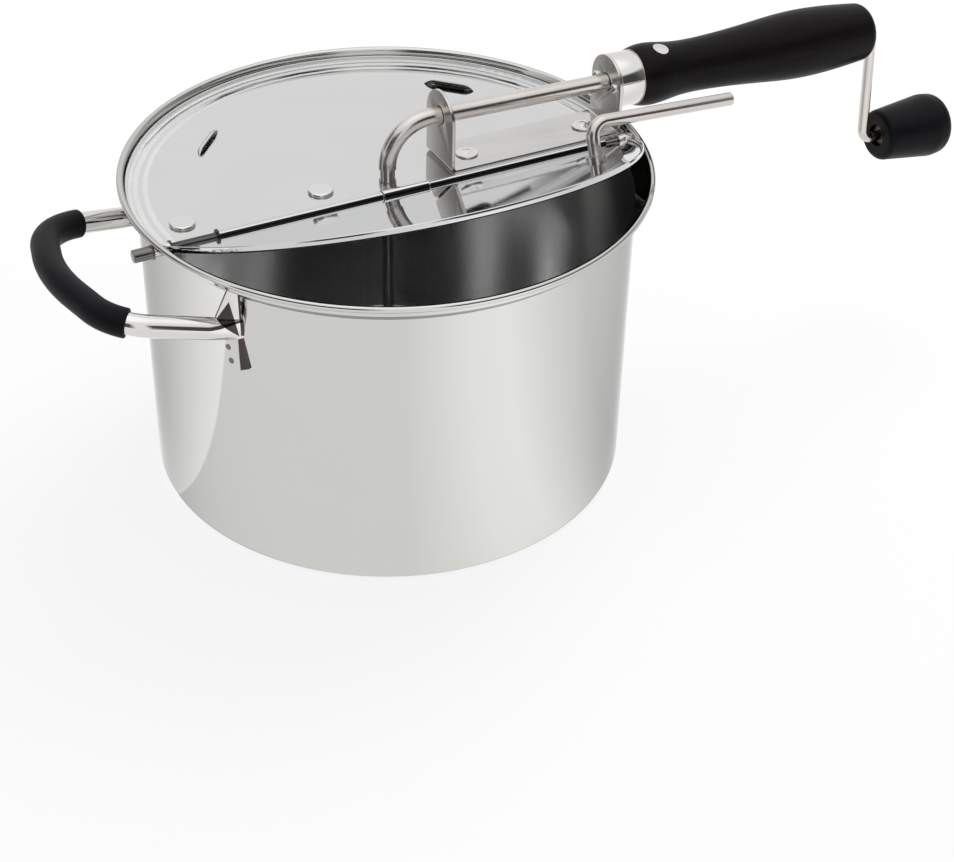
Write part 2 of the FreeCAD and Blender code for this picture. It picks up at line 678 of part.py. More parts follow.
def ferrule_face(shape):
    """Trim the left end of a piece on the axis to the upright face of the bracket's right ear."""
    return shape.cut(block(V(0, -BIG, 0), V(EAR_OUT_X, BIG, BIG)))


def handle_ferrule():
    """Steel cup between the bracket and the grip."""
    outer = bar(FERRULE_R, axis_point(EAR_OUT_X - FERRULE_FLOOR), axis_point(FERRULE_END))
    inside = bar(FERRULE_R - FERRULE_WALL, axis_point(EAR_OUT_X + FERRULE_FLOOR), axis_point(FERRULE_END))
    cup = ferrule_face(outer).cut(inside)
    return cup.cut([bar(TUBE_R, axis_point(0), axis_point(FERRULE_END)),
                    screw_bar(-1, SCREW_R), screw_bar(1, SCREW_R)])


def grip_outline():
    """Turned outside of the grip, solid, along +X."""
    start = V(FERRULE_END, 0, GRIP_START_R)
    named = (GRIP_COLLAR, GRIP_NECK, GRIP_WAIST, GRIP_RISE, GRIP_SWELL, GRIP_TAIL, GRIP_END)
    curve = Part.BSplineCurve()
    curve.interpolate([start] + [V(FERRULE_END + u, 0, r) for u, r in named])
    end_u, end_r = GRIP_END_U, GRIP_END[1]
    spigot_r = FERRULE_R - FERRULE_WALL
    spigot_u = EAR_OUT_X + FERRULE_FLOOR
    wire = Part.Wire([curve.toShape()] + run(V(end_u, 0, end_r), V(end_u, 0, 0), V(spigot_u, 0, 0),
                                             V(spigot_u, 0, spigot_r), V(FERRULE_END, 0, spigot_r), start))
    body = turned(wire, X)
    rim = [edge for edge in body.Edges
           if abs(edge.BoundBox.XMin - end_u) < 1e-3 and abs(edge.BoundBox.ZMax - end_r) < 1e-3]
    return body.makeFillet(GRIP_EDGE, rim)


def pin_bar():
    """Bar along which the flush pin goes into the grip, in the grip's own frame."""
    lean = math.radians(PIN_TURN)
    out = V(0, -math.sin(lean), math.cos(lean))
    foot = X * (FERRULE_END + PIN_INSET)
    return bar(PIN_R, foot + out * TUBE_R, foot + out * STRAP_W)


def handle_grip():
    """Turned wooden grip, bored for the tube, the crank rod and its bushing."""
    bores = [bar(TUBE_R, V(0, 0, 0), X * TUBE_END), bar(CRANK_R + END_GAP, V(0, 0, 0), X * GRIP_END_U),
             bar(CRANK_BUSH_R, X * (GRIP_END_U - CRANK_BUSH_L), X * GRIP_END_U), pin_bar()]
    return on_axis(grip_outline().cut(bores)).cut([screw_bar(-1, SCREW_R), screw_bar(1, SCREW_R)])


def handle_pin():
    return on_axis(pin_bar().common(grip_outline()))


def screw_bar(side, radius):
    """Shank of a ferrule screw, from the left face of the bracket's right ear into the grip."""
    head_x = EAR_OUT_X - BRACKET_T
    head = V(head_x, side * SCREW_Y, axis_height(head_x))
    return bar(radius, head, head + (axis_point(1) - axis_point(0)) * SCREW_L)


def ferrule_screw(side):
    head_x = EAR_OUT_X - BRACKET_T
    seat = V(head_x, side * SCREW_Y, axis_height(head_x))
    points = [V(0, 0, 0), V(SCREW_HEAD_R, 0, 0), V(SCREW_HEAD_R, 0, SCREW_HEAD_H), V(0, 0, SCREW_HEAD_H)]
    head = turned(rounded(points, (0, 0, SCREW_HEAD_H * 0.7, 0)))
    half = SCREW_SLOT / 2
    head = head.cut([block(V(-SCREW_R, -half, SCREW_HEAD_H / 2), V(SCREW_R, half, SCREW_HEAD_H)),
                     block(V(-half, -SCREW_R, SCREW_HEAD_H / 2), V(half, SCREW_R, SCREW_HEAD_H))])
    head.rotate(V(0, 0, 0), Y, -90)
    head.translate(seat)
    return head.fuse(screw_bar(side, SCREW_R).cut(block(V(0, -BIG, 0), V(head_x, BIG, BIG))))


def crank_bush():
    start, end = axis_point(GRIP_END_U - CRANK_BUSH_L), axis_point(GRIP_END_U)
    return ring(CRANK_BUSH_R, CRANK_R + RUN_GAP, start, end)


# --- crank and knob -----------------------------------------------------------------------------

def on_crank(shape):
    """Turn a piece drawn with the arm straight down to the arm's rest, and place it on the axis."""
    copy = shape.copy()
    copy.rotate(V(0, 0, 0), X, -CRANK_TURN)
    return on_axis(copy)


def knob_end():
    """Distance from the arm's axis to the knob's large end."""
    return KNOB_NEAR + KNOB_L


def pin_end():
    """Distance from the arm's axis to the end of the crank pin, inside the knob's pocket."""
    return knob_end() - KNOB_POCKET_D + END_GAP + RETAINER_T


def crank_rod():
    corner = V(CRANK_ARM_U, 0, -CRANK_ARM)
    points = [X * CRANK_START, X * CRANK_ARM_U, corner, corner + X * pin_end()]
    return on_crank(swept(bent(points, (CRANK_BEND, CRANK_BEND)), CRANK_R))


def knob_place(t):
    """Point on the knob's axis at the distance t from the arm's axis, in the crank's own frame."""
    return V(CRANK_ARM_U + t, 0, -CRANK_ARM)


def crank_knob():
    start, end = KNOB_NEAR, knob_end()
    points = [V(start, 0, 0), V(start, 0, KNOB_SMALL_R), V(start + KNOB_TAPER_L, 0, KNOB_LARGE_R),
              V(end, 0, KNOB_END_R), V(end, 0, 0)]
    body = turned(rounded(points, (0, KNOB_SMALL_EDGE, KNOB_BELLY, KNOB_LARGE_EDGE, 0)), X)
    body.translate(knob_place(0))
    pocket = bar(KNOB_POCKET_R, knob_place(end - KNOB_POCKET_D), knob_place(end))
    recess = bar(KNOB_RECESS_R, knob_place(start), knob_place(start + KNOB_RECESS_D))
    bore = bar(CRANK_R + RUN_GAP, knob_place(start), knob_place(end))
    return on_crank(body.cut([pocket, recess, bore]))


def knob_retainer():
    """Washer peened onto the crank pin, inside the knob."""
    end = knob_place(pin_end())
    return on_crank(ring(RETAINER_R, CRANK_R, end - X * RETAINER_T, end))


def knob_cap():
    end = knob_end()
    return on_crank(bar(KNOB_POCKET_R, knob_place(end - KNOB_CAP_T), knob_place(end)))


# --- stirrer ------------------------------------------------------------------------------------

def stir_path(reach, bent_by, height, rise):
    """Wire through the shaft, its ends bent sideways or upwards."""
    inner = reach * STIR_STRAIGHT
    points = [V(-reach, -bent_by, height + rise), V(-inner, 0, height),
              V(inner, 0, height), V(reach, bent_by, height + rise)]
    return bent(points, (STIR_BEND, STIR_BEND))


def wire_low():
    return swept(stir_path(BODY_R - LOW_INSET, LOW_SWEEP, FLOOR_Z + FLOOR_GAP + WIRE_R, 0), WIRE_R)


def wire_high():
    return swept(stir_path(BODY_R - HIGH_INSET, 0, HIGH_Z, HIGH_RISE), WIRE_R)


def stirrer_shaft():
    shaft = bar(STIR_R, V(0, 0, FLOOR_Z + FLOOR_GAP / 2), V(0, 0, STIR_TOP))
    return shaft.cut([wire_low(), wire_high()])


def shaft_collar():
    """Collar that holds the stirrer shaft up under the lid bushing."""
    top = BRACE_Z - BUSH_FLANGE_T - END_GAP
    return ring(STIR_COLLAR_R, STIR_R, V(0, 0, top - COLLAR_H), V(0, 0, top))


# --- flap ---------------------------------------------------------------------------------------

def lid_flap():
    """Front half, shut, with its two long barrels."""
    plate = lid_disc(FLAP_R).common(block(V(-BIG, -BIG, 0), V(BIG, HINGE_Y - HINGE_CLEAR, BIG)))
    for left, right in ((KNUCKLE_L, STRAP_L - END_GAP), (STRAP_RIGHT + END_GAP, KNUCKLE_END)):
        plate = plate.fuse(barrel(left, right, KNUCKLE_R, HINGE_Y - HINGE_CLEAR))
    plate = plate.cut(rod_bore(KNUCKLE_L, KNUCKLE_END))
    foot = lever_foot()
    return opened(plate.cut(bar(SCREW_R, foot - Z * LID_T, foot)))


def lever_foot():
    return V(LEVER_X, HINGE_Y - LEVER_S, LID_Z)


def flap_lever():
    """Bent rod that stands on the flap, with its arm beside the grip."""
    foot = lever_foot()
    corner = foot + Z * LEVER_H
    fall = math.radians(LEVER_FALL)
    end = corner + V(math.cos(fall), 0, -math.sin(fall)) * LEVER_L
    return opened(swept(bent([foot, corner, end], (LEVER_BEND,)), LEVER_R))


def lever_collar():
    foot = lever_foot()
    return opened(ring(COLLAR_R, LEVER_R, foot, foot + Z * COLLAR_T))


def lever_screw():
    """Screw from below the flap into the lever's foot."""
    foot = lever_foot()
    under = foot - Z * LID_T
    head = bar(COLLAR_R, under - Z * COLLAR_T, under)
    return opened(head.fuse(bar(SCREW_R, under, foot)))


# --- hinge rod ------------------------------------------------------------------------------------

def hinge_rod():
    return bar(ROD_R, HINGE - X * BUSH_OUT_X, HINGE + X * BUSH_OUT_X)


def release_button():
    """Button on the rod's left end, outside the pot."""
    seat = HINGE - X * (BUSH_OUT_X + END_GAP)
    body = bar(BUTTON_FLANGE_R, seat, seat - X * CLIP_T)
    points = [V(0, 0, 0), V(BUTTON_R, 0, 0), V(BUTTON_R, 0, BUTTON_L), V(0, 0, BUTTON_L)]
    shank = turned(rounded(points, (0, 0, BUTTON_R * 0.15, 0)))
    shank.rotate(V(0, 0, 0), Y, -90)
    shank.translate(seat - X * CLIP_T)
    joint = bar(ROD_R, HINGE - X * BUSH_OUT_X, seat)
    return body.fuse([shank, joint])


def rod_clip():
    """Clip on the rod that the spring pushes against."""
    start = HINGE + X * (KNUCKLE_L - END_GAP)
    return ring(CLIP_R, ROD_R, start - X * CLIP_T, start)


def release_spring():
    """Spring between the seat at the wall and the clip."""
    left = -BUSH_IN_X + CLIP_T + SPRING_WIRE / 2
    right = KNUCKLE_L - END_GAP - CLIP_T - SPRING_WIRE / 2
    mean_r = ROD_R + RUN_GAP * 2 + SPRING_WIRE / 2
    length = right - left
    helix = Part.makeHelix(length / SPRING_TURNS, length, mean_r)
    start = helix.Edges[0].valueAt(helix.Edges[0].FirstParameter)
    along = helix.Edges[0].tangentAt(helix.Edges[0].FirstParameter)
    wire_ring = Part.Wire(Part.Circle(start, along, SPRING_WIRE / 2).toShape())
    coil = Part.Wire(helix.Edges).makePipeShell([wire_ring], True, True)
    coil.rotate(V(0, 0, 0), Y, 90)
    coil.translate(HINGE + X * left)
    return coil


PIECES = {
    "pot_shell": pot_shell,
    "base_plate": base_plate,
    "side_handle_tube": side_handle_tube,
    "side_handle_grip": side_handle_grip,
    "rod_bushings": rod_bushings,
    "spring_seat": spring_seat,
    "lid_half": lid_half,
    "lid_brace": lid_brace,
    "lid_rivets": lambda: Part.makeCompound(
        [rivet(place, LID_Z, LID_RIVET_R, LID_RIVET_H) for place in LID_RIVETS]),
    "bracket_rivets": lambda: Part.makeCompound([bracket_rivet(place) for place in BRACKET_RIVETS]),
    "handle_bracket": handle_bracket,
    "lid_bushing": lid_bushing,
    "drive_tube": drive_tube,
    "flex_shaft": flex_shaft,
    "handle_ferrule": handle_ferrule,
    "ferrule_screws": lambda: Part.makeCompound([ferrule_screw(side) for side in (-1, 1)]),
    "handle_grip": handle_grip,
    "handle_pin": handle_pin,
    "crank_bush": crank_bush,
    "crank_rod": crank_rod,
    "knob_retainer": knob_retainer,
    "crank_knob": crank_knob,
    "knob_cap": knob_cap,
    "stirrer_shaft": stirrer_shaft,
    "shaft_collar": shaft_collar,
    "stirrer_wire_low": wire_low,
    "stirrer_wire_high": wire_high,
    "lid_flap": lid_flap,
    "flap_lever": flap_lever,
    "lever_collar": lever_collar,
    "lever_screw": lever_screw,
    "hinge_rod": hinge_rod,
    "release_button": release_button,
    "rod_clip": rod_clip,
    "release_spring": release_spring,
}

for name, make in PIECES.items():
    save(name, make())
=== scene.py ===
# %% [markdown]
# # Stovetop popcorn popper
# The popper is a steel pot under a two-part lid. A crank in the long wooden handle turns stirring
# wires inside. Its solids come from the CAD model, in metres, with +Z up and +X towards the crank.
# This file gives each of them a finish, adds the small things that the solids leave out, and sets
# up the light and the camera.

import math

import bmesh
import bpy
from mathutils import Matrix, Vector


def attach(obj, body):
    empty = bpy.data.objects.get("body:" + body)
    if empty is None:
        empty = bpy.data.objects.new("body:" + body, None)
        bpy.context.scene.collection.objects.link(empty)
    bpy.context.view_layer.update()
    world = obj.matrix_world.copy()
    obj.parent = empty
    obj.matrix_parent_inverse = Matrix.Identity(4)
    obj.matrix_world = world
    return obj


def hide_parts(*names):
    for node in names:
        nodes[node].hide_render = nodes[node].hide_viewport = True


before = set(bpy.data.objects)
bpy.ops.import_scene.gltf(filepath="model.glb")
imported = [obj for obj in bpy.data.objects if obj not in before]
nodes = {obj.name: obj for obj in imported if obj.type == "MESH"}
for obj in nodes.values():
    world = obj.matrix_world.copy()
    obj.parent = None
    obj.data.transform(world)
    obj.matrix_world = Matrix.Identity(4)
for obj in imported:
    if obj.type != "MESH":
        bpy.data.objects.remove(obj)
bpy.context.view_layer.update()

# %% [markdown]
# ## Places on the object
# New pieces sit on the CAD solids, so they need a few of the same sizes. The drive axis is the
# line through the tube, the long handle and the crank. It falls a little towards the crank, so a
# matrix carries a piece drawn along +X onto it. A second matrix also turns the piece with the
# crank's arm, which stands a little forward of straight down.

# %% Sizes shared with the solids
MM = 0.001
BODY_R = 112 * MM       # outside of the pot's wall
LID_TOP = 0.145
HINGE = Vector((0.0, -0.0173, LID_TOP))
AXIS_Z = 0.1695         # the drive axis over the pot's middle
CRANK_ARM = 0.058       # drive axis to the knob's axis
DROOP = math.radians(1.47)
CRANK_TURN = math.radians(7.1)
ON_AXIS = Matrix.Translation((0, 0, AXIS_Z)) @ Matrix.Rotation(DROOP, 4, "Y")
ON_CRANK = ON_AXIS @ Matrix.Rotation(-CRANK_TURN, 4, "X")
print("drive axis passes", [round(v, 4) for v in ON_AXIS @ Vector((0.1, 0, 0))])

# %% [markdown]
# ## Making a piece
# Every new piece starts in a bmesh, Blender's editable mesh. A few helpers do what all pieces
# share. One turns a finished bmesh into an object that rides on a body of the model. One rounds
# the corners of an outline, and one spins an outline round an axis, which is how lathe-turned and
# pressed round parts get their shape. The spin closes on itself, its doubled points are merged and
# its faces are pointed outwards, because a spin can come out inside-out.

# %% Helper: bmesh to a piece
def piece(name, shape, body, finish, sharp=40.0):
    """Object from a bmesh, shaded smooth but for edges sharper than the angle."""
    for face in shape.faces:
        face.smooth = True
    for edge in shape.edges:
        edge.smooth = len(edge.link_faces) == 2 and edge.calc_face_angle(0.0) < math.radians(sharp)
    mesh = bpy.data.meshes.new(name)
    shape.to_mesh(mesh)
    shape.free()
    mesh.materials.append(finish)
    made = bpy.data.objects.new(name, mesh)
    bpy.context.scene.collection.objects.link(made)
    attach(made, body)
    print(f"{name}: {len(mesh.polygons)} faces on {body}")
    return made


# %% Helper: round the corners of an outline
def rounded(corners, steps=6):
    """Outline in metres through corners (along, radius, bend) in millimetres.

    A corner without a bend stays sharp; any other becomes an arc of that radius."""
    outline = []
    for i, (along, radius, bend) in enumerate(corners):
        here = Vector((along, radius))
        if not bend:
            outline.append(here * MM)
            continue
        before = (Vector(corners[i - 1][:2]) - here).normalized()
        after = (Vector(corners[i + 1][:2]) - here).normalized()
        half = before.angle(after) / 2
        centre = here + (before + after).normalized() * bend / math.sin(half)
        first = here + before * bend / math.tan(half) - centre
        last = here + after * bend / math.tan(half) - centre
        arc = [first.lerp(last, k / steps).normalized() * bend for k in range(steps + 1)]
        outline += [(centre + point) * MM for point in arc]
    return outline


# %% Helper: spin an outline
UPRIGHT = Matrix.Rotation(math.radians(-90), 4, "Y")
MERGE = 1e-6


def lathe(outline, place=Matrix(), steps=64):
    """Bmesh of an outline of (length along +X, radius) points, spun round X, then placed."""
    shape = bmesh.new()
    ring = [shape.verts.new((along, 0, radius)) for along, radius in outline]
    edges = [shape.edges.new(pair) for pair in zip(ring, ring[1:])]
    bmesh.ops.spin(shape, geom=ring + edges, cent=(0, 0, 0), axis=(1, 0, 0), angle=math.tau,
                   steps=steps, use_merge=True, use_normal_flip=False)
    bmesh.ops.remove_doubles(shape, verts=shape.verts, dist=MERGE)
    bmesh.ops.transform(shape, matrix=place, verts=shape.verts)
    bmesh.ops.recalc_face_normals(shape, faces=shape.faces)
    return shape


# %% [markdown]
# ## Finishes
# All steel on the popper is bare stainless. Its finishes differ in how finely they are polished.
# The spot welds are darkened by the heat of welding. Two more dark steels are painted shade:
# near-black colour laid where folds, open seams and gaps fall in shade. Some colours carry painted
# light as well. The inside of the pot and the lid's outer ring are paler than their steel would be,
# and the flap's faint blue stands in for a cool reflection. Real polish is never even: the wheel
# leaves hair-fine lines, and handling leaves larger cloudy spots that are a little duller. Both go
# into the roughness. The lines are a noise pattern stretched a hundredfold in one direction, so
# they run the way the wheel ran. They also move the surface by up to a few thousandths of a
# millimetre in a Bump node, which smears reflections across the lines as real polish does.

# %% Helper: a node tree to fill
def blank(name, **sockets):
    """Material with a Principled shader whose plain values are set on its own sockets."""
    material = bpy.data.materials.new(name)
    material.use_nodes = True
    tree = material.node_tree
    shader = tree.nodes["Principled BSDF"]
    for socket, value in sockets.items():
        shader.inputs[socket.replace("_", " ")].default_value = value
    return material, tree, shader


# %% Helper: patterns on Object coordinates
def stretched_noise(tree, stretch, detail=2.0):
    """Noise on Object coordinates, with its own number of grains per metre along X, Y and Z."""
    place = tree.nodes.new("ShaderNodeTexCoord")
    mapping = tree.nodes.new("ShaderNodeMapping")
    mapping.inputs["Scale"].default_value = stretch
    noise = tree.nodes.new("ShaderNodeTexNoise")
    noise.inputs["Scale"].default_value = 1.0
    noise.inputs["Detail"].default_value = detail
    tree.links.new(place.outputs["Object"], mapping.inputs["Vector"])
    tree.links.new(mapping.outputs["Vector"], noise.inputs["Vector"])
    return noise.outputs["Fac"]


def spread(tree, value, low, high, start=0.3, end=0.7):
    """Map a pattern's middle range onto the values from low to high."""
    node = tree.nodes.new("ShaderNodeMapRange")
    limits = (("From Min", start), ("From Max", end), ("To Min", low), ("To Max", high))
    for socket, number in limits:
        node.inputs[socket].default_value = number
    tree.links.new(value, node.inputs["Value"])
    return node.outputs["Result"]


def tinted(tree, value, dark, light):
    """Colour between two, by a pattern."""
    node = tree.nodes.new("ShaderNodeMix")
    node.data_type = "RGBA"
    node.inputs["A"].default_value = (*dark, 1)
    node.inputs["B"].default_value = (*light, 1)
    tree.links.new(value, node.inputs["Factor"])
    return node.outputs["Result"]


def math_node(tree, operation, first, second):
    """One Math node; either input may be a socket or a number."""
    node = tree.nodes.new("ShaderNodeMath")
    node.operation = operation
    for socket, value in zip(node.inputs, (first, second)):
        if isinstance(value, (int, float)):
            socket.default_value = value
        else:
            tree.links.new(value, socket)
    return node.outputs["Value"]


def compass(tree, vector, stops):
    """Brightness by the compass direction of a vector, and the vector's own Z.

    The stops are (degrees from +X towards +Y, brightness), from -180 to 180 and in that order."""
    part = tree.nodes.new("ShaderNodeSeparateXYZ")
    tree.links.new(vector, part.inputs[0])
    turn = math_node(tree, "ARCTAN2", part.outputs["Y"], part.outputs["X"])
    ramp = tree.nodes.new("ShaderNodeValToRGB")
    ring = ramp.color_ramp.elements
    ends = {-180: 0, 180: -1}
    for degrees, value in stops:
        stop = ring[ends[degrees]] if degrees in ends else ring.new(degrees / 360 + 0.5)
        stop.color = (value, value, value, 1)
    tree.links.new(spread(tree, turn, 0, 1, -math.pi, math.pi), ramp.inputs["Fac"])
    return ramp.outputs["Color"], part.outputs["Z"]


def raised(tree, shader, height, depth):
    """Let a pattern move the surface by the depth in metres."""
    bump = tree.nodes.new("ShaderNodeBump")
    bump.inputs["Strength"].default_value = 1.0
    bump.inputs["Distance"].default_value = depth
    tree.links.new(height, bump.inputs["Height"])
    tree.links.new(bump.outputs["Normal"], shader.inputs["Normal"])


# %% Steel in any polish
def steel(name, dark, light, smooth, rough, stretch, depth,
          clouds=22.0, swing=0.5, metal=1.0, edge=1.0):
    """Stainless steel in two tones.

    Its roughness runs from smooth to rough. The polishing lines have the given grains per metre
    and move the surface by the depth in metres; clouds is the duller spots' grains per metre and
    swing their share in the roughness. Edge is the tint of mirrored light at grazing angles."""
    material, tree, shader = blank(name, Metallic=metal, Specular_Tint=(edge, edge, edge, 1))
    lines = stretched_noise(tree, stretch, 3.0)
    cloud = stretched_noise(tree, (clouds,) * 3, 2.0)
    both = math_node(tree, "ADD", math_node(tree, "MULTIPLY", lines, 1 - swing),
                     math_node(tree, "MULTIPLY", cloud, swing))
    tree.links.new(spread(tree, both, smooth, rough, 0.35, 0.65), shader.inputs["Roughness"])
    tree.links.new(tinted(tree, spread(tree, cloud, 0, 1), dark, light),
                   shader.inputs["Base Color"])
    raised(tree, shader, lines, depth)
    return material


# %% [markdown]
# The way that the lines run is a triple of grains per metre along X, Y and Z, and they run along
# the axis that has few. Round rings that lie level have many grains only along Z.

# %% Ways that the polishing lines run
LEVEL_RINGS = (9, 9, 1500)
SHORT_RINGS = (60, 60, 700)
UPRIGHT_LINES = (900, 900, 12)
STRAP_LINES = (900, 900, 14)
SHEET_LINES = (1400, 12, 12)
TUBE_LINES = (14, 900, 900)
ROD_LINES = (14, 1200, 1200)
RING_LINES = (60, 700, 700)
NO_LINES = (900, 900, 900)

# %% Polished steels
wall_steel = steel("wall steel", (0.617, 0.612, 0.593), (0.623, 0.618, 0.598), 0.05, 0.08,
                   LEVEL_RINGS, 0.6e-6, clouds=30, swing=0.1, edge=0.62)
# Painted light: the inside's colour is far paler than the outside's steel, which lifts light into
# the dim inside of the pot.
lit_inner_steel = steel("lit inner steel", (0.90, 0.90, 0.895), (0.96, 0.96, 0.955), 0.12, 0.2,
                    UPRIGHT_LINES, 3e-6, metal=0.95)
lid_steel = steel("lid steel", (0.66, 0.66, 0.657), (0.675, 0.675, 0.672), 0.05, 0.10,
                  SHEET_LINES, 1.2e-6, clouds=30, swing=0.3)
# Painted reflection: the faint blue tint in the flap's colour stands in for the cool light that its
# mirror face reflects.
flap_steel = steel("flap steel", (0.60, 0.605, 0.615), (0.63, 0.635, 0.645), 0.03, 0.06,
                   SHEET_LINES, 0.5e-6, clouds=30, swing=0.3)
# Partly painted light: the duller polish is real, but the pale, partly matt colour keeps the lid's
# outer ring evenly bright.
lit_lip_steel = steel("lit lip steel", (0.72, 0.72, 0.717), (0.77, 0.77, 0.767), 0.30, 0.38,
                  SHORT_RINGS, 1e-6, metal=0.3)
bright_steel = steel("bright steel", (0.68, 0.67, 0.655), (0.75, 0.74, 0.725), 0.05, 0.10,
                     SHORT_RINGS, 1e-6)

# %% Satin steels
plate_steel = steel("plate steel", (0.58, 0.57, 0.56), (0.65, 0.64, 0.63), 0.10, 0.18,
                    STRAP_LINES, 2e-6)
bracket_steel = steel("bracket steel", (0.60, 0.57, 0.55), (0.68, 0.65, 0.625), 0.16, 0.26,
                      STRAP_LINES, 2e-6)
tube_steel = steel("tube steel", (0.60, 0.565, 0.535), (0.68, 0.645, 0.615), 0.16, 0.24,
                   TUBE_LINES, 2e-6)
seam_steel = steel("seam steel", (0.62, 0.47, 0.38), (0.74, 0.60, 0.51), 0.18, 0.28,
                   RING_LINES, 1e-6)

# %% Dark steels: the rod's fittings, heat tints, and painted shade for folds, seams and gaps
rod_steel = steel("rod steel", (0.15, 0.142, 0.135), (0.22, 0.21, 0.20), 0.14, 0.24,
                  ROD_LINES, 2e-6)
clip_steel = steel("clip steel", (0.03, 0.028, 0.027), (0.06, 0.056, 0.053), 0.2, 0.3,
                   RING_LINES, 1e-6)
weld_steel = steel("weld steel", (0.10, 0.09, 0.085), (0.26, 0.24, 0.225), 0.25, 0.45,
                   NO_LINES, 1e-5, clouds=900)
washer_steel = steel("washer steel", (0.085, 0.055, 0.04), (0.15, 0.10, 0.075), 0.3, 0.45,
                     RING_LINES, 2e-6)
# Painted shade: this dark steel stands in for the shade and dark reflections in the side handle's
# pressed webs.
painted_shade_steel = steel("painted shade steel", (0.045, 0.036, 0.033), (0.085, 0.072, 0.067), 0.10, 0.2,
                    SHORT_RINGS, 1e-6)
# Painted shade: this near-black stands in for the shade in the barrels' open seams and in the gaps
# round the tube.
gap_shadow_steel = steel("gap shadow steel", (0.012, 0.012, 0.012), (0.022, 0.022, 0.021), 0.2, 0.3,
                     TUBE_LINES, 1e-6)
print("steels:", sum(material.name.endswith("steel") for material in bpy.data.materials))

# %% [markdown]
# ## Turned steel
# The base plate and the stirrer's shaft were turned on a lathe, which leaves rings instead of
# straight lines. A Wave texture in its ring form, centred on the Z axis, draws them, and a little
# distortion keeps them from looking printed.

# %% Turned steel
def turned_steel(name, dark, light, smooth, rough, rings, depth):
    """Steel with rings round the Z axis, that many to the metre."""
    material, tree, shader = blank(name, Metallic=1.0)
    place = tree.nodes.new("ShaderNodeTexCoord")
    wave = tree.nodes.new("ShaderNodeTexWave")
    wave.wave_type = "RINGS"
    wave.rings_direction = "Z"
    wave.inputs["Scale"].default_value = rings
    wave.inputs["Distortion"].default_value = 0.6
    tree.links.new(place.outputs["Object"], wave.inputs["Vector"])
    cloud = stretched_noise(tree, (25, 25, 25))
    tree.links.new(spread(tree, wave.outputs["Fac"], smooth, rough, 0, 1),
                   shader.inputs["Roughness"])
    tree.links.new(tinted(tree, spread(tree, cloud, 0, 1), dark, light),
                   shader.inputs["Base Color"])
    raised(tree, shader, wave.outputs["Fac"], depth)
    return material


base_steel = turned_steel("base steel", (0.52, 0.52, 0.515), (0.60, 0.60, 0.595), 0.22, 0.34,
                          260, 1.5e-5)
shaft_steel = turned_steel("shaft steel", (0.56, 0.55, 0.54), (0.64, 0.63, 0.62), 0.15, 0.25,
                           900, 2e-6)
print("turned:", base_steel.name, shaft_steel.name)

# %% [markdown]
# ## Stained wood
# The long grip is turned hardwood under a near-black stain and a satin lacquer. Little of the
# grain is left: long, faint, slightly redder streaks along the grip, and pores that show as tiny
# dents in the sheen. The lacquer is the shader's coat, so the highlight stays crisp while the
# wood under it stays dull.

# %% Stained wood
def stained_wood():
    """Dark streaked wood under a thin coat of lacquer."""
    material, tree, shader = blank("stained wood", Specular_IOR_Level=0.06,
                                   Coat_Weight=0.06, Coat_Roughness=0.25)
    grain = stretched_noise(tree, (18, 420, 420), 6.0)
    pores = stretched_noise(tree, (160, 2600, 2600), 2.0)
    bands = stretched_noise(tree, (5, 70, 70), 3.0)
    streaks = math_node(tree, "MULTIPLY", spread(tree, grain, 0, 1), spread(tree, bands, 0.3, 1))
    colour = tinted(tree, streaks, (0.0036, 0.0028, 0.0030), (0.0095, 0.0062, 0.0064))
    tree.links.new(colour, shader.inputs["Base Color"])
    tree.links.new(spread(tree, grain, 0.36, 0.48), shader.inputs["Roughness"])
    dents = math_node(tree, "ADD", pores, math_node(tree, "MULTIPLY", grain, 1.5))
    raised(tree, shader, dents, 1.2e-5)
    return material


grip_wood = stained_wood()
print("wood:", grip_wood.name)

# %% [markdown]
# ## Plastic and rubber
# The crank knob is moulded plastic with an even satin skin and very fine spark-eroded grain. The
# side handle's sleeve is soft rubber: duller, a shade lighter at grazing angles, which is what
# the sheen adds, and faintly mottled where hands have polished it.

# %% Plastic and rubber
def moulded(name, dark, light, smooth, rough, grains, depth, **sockets):
    """Moulded skin: fine even grain, and soft larger patches of wear."""
    material, tree, shader = blank(name, **sockets)
    skin = stretched_noise(tree, (grains, grains, grains), 2.0)
    worn = stretched_noise(tree, (60, 60, 60), 3.0)
    tree.links.new(tinted(tree, spread(tree, worn, 0, 1), dark, light), shader.inputs["Base Color"])
    tree.links.new(spread(tree, worn, smooth, rough), shader.inputs["Roughness"])
    raised(tree, shader, skin, depth)
    return material


knob_plastic = moulded("knob plastic", (0.0038, 0.0040, 0.0052), (0.0054, 0.0057, 0.0070),
                       0.38, 0.46, 3000, 6e-6, Specular_IOR_Level=0.10)
sleeve_rubber = moulded("sleeve rubber", (0.0042, 0.0045, 0.0060), (0.0065, 0.0070, 0.0088),
                        0.45, 0.55, 2600, 1.2e-5, Specular_IOR_Level=0.08,
                        Sheen_Weight=0.03, Sheen_Roughness=0.5)
print("moulded:", knob_plastic.name, sleeve_rubber.name)

# %% [markdown]
# ## Finishes on the solids
# Each solid keeps its mesh and gets its finish in its own material slots. Some are replaced by a
# copy further down; they are listed all the same, so that every solid has the finish it is made of.

